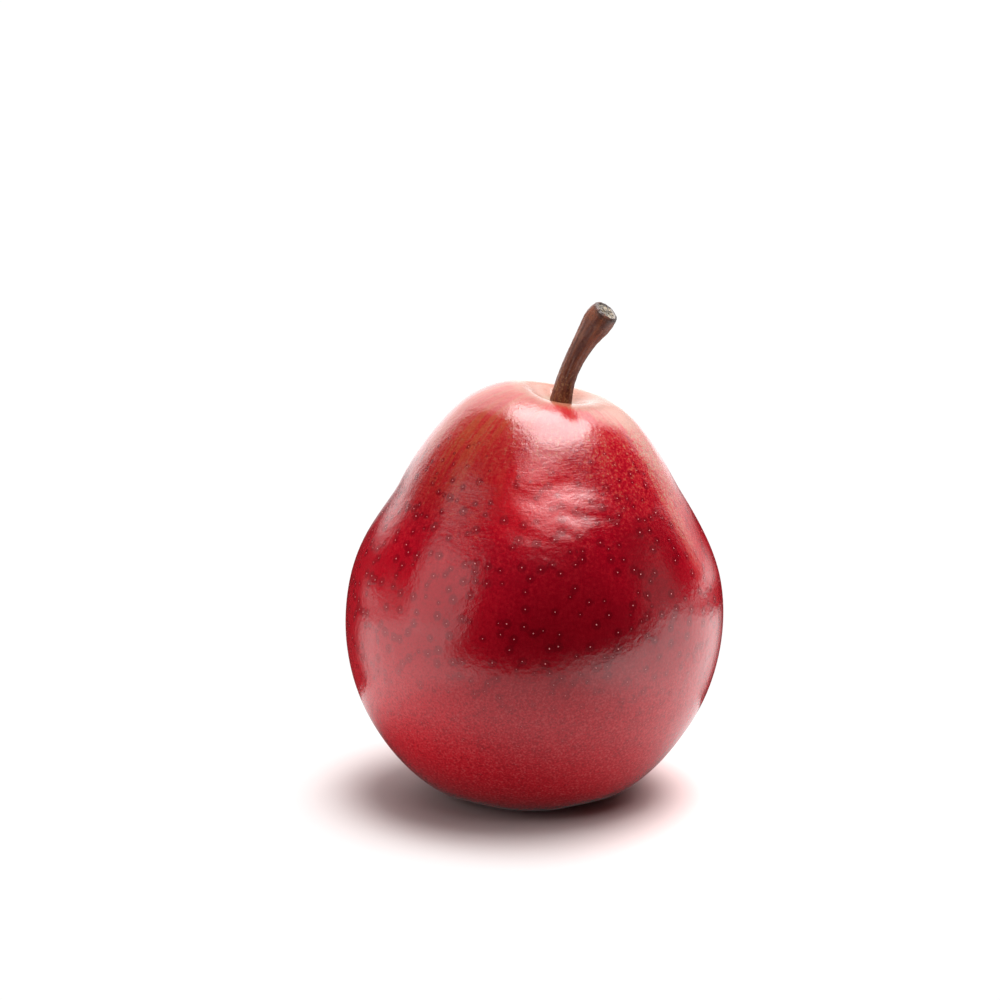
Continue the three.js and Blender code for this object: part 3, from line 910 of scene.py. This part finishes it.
strength = chosen(tree, path["Is Camera Ray"], painted_glow, 1.03)
strength = chosen(tree, path["Is Glossy Ray"], strength, painted_reflection)
glow = node(tree, "ShaderNodeEmission", {"Color": (1, 1, 1, 1), "Strength": strength}).outputs[0]
from_fruit = vector_calc(tree, "LENGTH", place, output=1)
far = calc(tree, "MAXIMUM", fade(tree, from_fruit, 0.035, 0.066), path["Is Glossy Ray"])
both = node(tree, "ShaderNodeMixShader", {0: far, 1: matt, 2: glow}).outputs[0]
node(tree, "ShaderNodeOutputMaterial", {"Surface": both})
corners = [(x * FLOOR_REACH, y * FLOOR_REACH, 0) for x, y in ((-1, -1), (1, -1), (1, 1), (-1, 1))]
sheet("table", corners, table_material)

# The light
# White screens behind the fruit, faint ones low at both sides and a broad one high on the
# right, and dark where the camera stands. Two softboxes: a large one overhead and another on
# the left.
# A screen: heading in degrees to the right of the camera, outer and inner edge, low and high
# edge, and strength below and above
SCREENS = [
    (146, 22, 8, 0, 40, 1.0, 3.6),
    (-165, 38, 16, 5, 55, 2.1, 2.7),
    (-98, 18, 8, 14, 6, 0.0, 0.5),
    (88, 18, 6, 28, 16, 0.0, 0.45),
    (52, 84, 56, 47, 53, 0.0, 3.4),
]
world = bpy.data.worlds.new("studio")
bpy.context.scene.world = world
world.use_nodes = True
tree = world.node_tree
tree.nodes.clear()
direction = node(tree, "ShaderNodeTexCoord").outputs["Generated"]
facing_z = split(tree, direction)[2]
level = vector_calc(tree, "NORMALIZE", vector_calc(tree, "MULTIPLY", direction, (1, 1, 0)))


def sine(degrees):
    return math.sin(math.radians(degrees))


def cosine(degrees):
    return math.cos(math.radians(degrees))


def screen(heading, outer, inner, low, high, strength_low, strength_high):
    """Light from one side, with soft edges."""
    side = vector_calc(tree, "DOT_PRODUCT", level, (sine(heading), -cosine(heading), 0), output=1)
    side = fade(tree, side, cosine(outer), cosine(inner))
    height = fade(tree, facing_z, sine(low), sine(high), strength_low, strength_high)
    above = fade(tree, facing_z, -0.05, 0.02)
    return product(tree, side, height, above)


room = screen(*SCREENS[0])
for row in SCREENS[1:]:
    room = calc(tree, "ADD", room, screen(*row))
strength = chosen(tree, node(tree, "ShaderNodeLightPath").outputs["Is Camera Ray"], room, 1.02)
background = node(tree, "ShaderNodeBackground", {"Color": (1, 1, 1, 1), "Strength": strength}).outputs[0]
node(tree, "ShaderNodeOutputWorld", {"Surface": background})


def softbox(name, place, aim, width, height, radiance, shape):
    """A lamp with an even face of the given radiance."""
    light = bpy.data.lights.new(name, "AREA")
    light.shape = shape
    light.size = width
    light.size_y = height
    face = width * height * (math.pi / 4 if shape == "ELLIPSE" else 1)
    light.energy = radiance * face * math.pi
    box = show(name, light)
    box.location = place
    box.rotation_euler = (Vector(aim) - Vector(place)).to_track_quat("-Z", "Y").to_euler()


softbox("overhead softbox", (0.17, 0.12, 0.95), (0.17, 0.12, 0), 0.83, 0.97, 9.2, "ELLIPSE")
softbox("left softbox", (-0.727, -0.309, 0.31), (0, 0, 0.06), 0.63, 0.62, 1.6, "RECTANGLE")

# Low dark cards close behind the fruit on either side, that only its gloss picks up. They are
# soft at their sides and top. A card: x and y of its outer and inner edge, and its top
CARDS = [
    (-0.090, 0.013, -0.028, 0.066, 0.070),
    (0.068, 0.017, 0.008, 0.077, 0.066),
]
SOFT_SHARE = 0.32
SOFT_TOP = 0.014
for outer_x, outer_y, inner_x, inner_y, top in CARDS:
    card_material, tree, surface = new_material("dull black card")
    place_x, _, place_z = split(tree, object_place(tree))
    soft = (inner_x - outer_x) * SOFT_SHARE
    card_alpha = product(
        tree,
        fade(tree, place_x, outer_x, outer_x + soft),
        fade(tree, place_x, inner_x, inner_x - soft),
        fade(tree, place_z, top, top - SOFT_TOP),
    )
    plug(tree, surface, {"Base Color": (0.02, 0.004, 0.004, 1), "Roughness": 1.0, "Alpha": card_alpha})
    corners = [(outer_x, outer_y, 0), (inner_x, inner_y, 0), (inner_x, inner_y, top), (outer_x, outer_y, top)]
    card = sheet("dark card", corners, card_material)
    for ray in ("camera", "diffuse", "shadow", "transmission"):
        setattr(card, "visible_" + ray, False)

# The camera
# At the photograph's angle: it looks 13 degrees down from 650 mm away, with the fruit a little
# right of the picture's middle.
CAMERA_SLOPE = 13
CAMERA_DISTANCE = 0.65
CAMERA_AIM_X = -0.00687
CAMERA_AIM_Z = 0.0601
camera = bpy.data.cameras.new("camera")
camera.lens = 117.04
camera.sensor_width = 36.0
viewer = show("camera", camera)
viewer.location = (
    CAMERA_AIM_X,
    -CAMERA_DISTANCE * cosine(CAMERA_SLOPE),
    CAMERA_AIM_Z + CAMERA_DISTANCE * sine(CAMERA_SLOPE),
)
viewer.rotation_euler = (math.radians(90 - CAMERA_SLOPE), 0, 0)
bpy.context.scene.camera = viewer
bpy.context.scene.view_settings.view_transform = "Standard"
